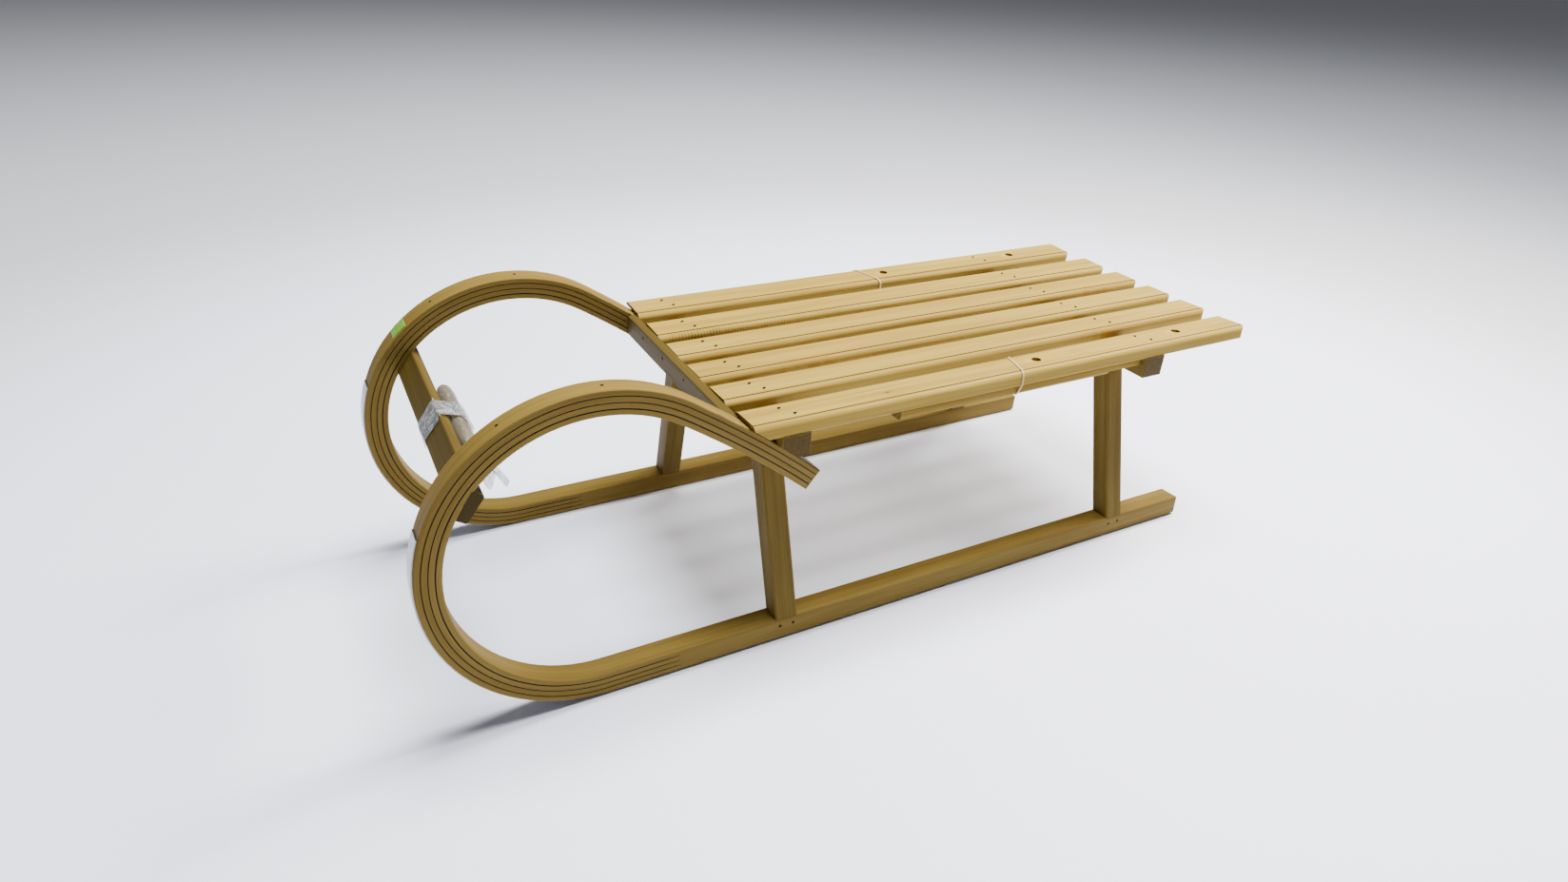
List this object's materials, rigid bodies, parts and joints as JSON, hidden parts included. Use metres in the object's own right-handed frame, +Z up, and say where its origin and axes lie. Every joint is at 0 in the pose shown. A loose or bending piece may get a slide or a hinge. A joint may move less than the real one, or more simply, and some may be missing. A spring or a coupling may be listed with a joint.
{
  "type": "wooden toboggan",
  "caption": "Horned wooden sled with bent laminated runners, steel shoes, a slatted seat on two yokes, a front crossbar and stowed backrest posts.",
  "frame": {"origin": "bottom centre of the whole sled's bounding box, on the floor", "axes": "+X towards the horns at the front, +Y to the sled's left, +Z up"},
  "size_m": [1.083, 0.393, 0.3525],
  "materials": {
    "beech_runner": "satin clear varnish",
    "beech_slat": "satin clear varnish",
    "beech_leg": "satin clear varnish",
    "beech_yoke": "satin clear varnish",
    "beech_strip": "satin clear varnish",
    "beech_crossbar": "satin clear varnish",
    "beech_post": "satin clear varnish",
    "steel_shoe": "bright steel",
    "nail_steel": "dull steel",
    "screw_steel": "bright zinc",
    "rubber_band": "matt",
    "bag_film": "clear film over a folded cord"
  },
  "bodies": {
    "root": {"runner_left": "beech_runner", "shoe_left": "steel_shoe", "backrest_post_left": "beech_post", "elastic_band_left": "rubber_band", "leg_rear_left": "beech_leg", "leg_front_left": "beech_leg", "runner_right": "beech_runner", "shoe_right": "steel_shoe", "backrest_post_right": "beech_post", "elastic_band_right": "rubber_band", "leg_rear_right": "beech_leg", "leg_front_right": "beech_leg", "yoke_front": "beech_yoke", "yoke_rear": "beech_yoke", "front_strip": "beech_strip", "front_crossbar": "beech_crossbar", "cord_bag": "bag_film", "seat_slat_1": "beech_slat", "seat_slat_2": "beech_slat", "seat_slat_3": "beech_slat", "seat_slat_4": "beech_slat", "seat_slat_5": "beech_slat", "seat_slat_6": "beech_slat", "slat_nails": "nail_steel", "foot_nails": "nail_steel", "horn_nails": "nail_steel", "crossbar_nails": "nail_steel", "strip_nails": "nail_steel", "shoe_screws": "screw_steel", "horn_screws": "screw_steel"}
  },
  "joints": []
}
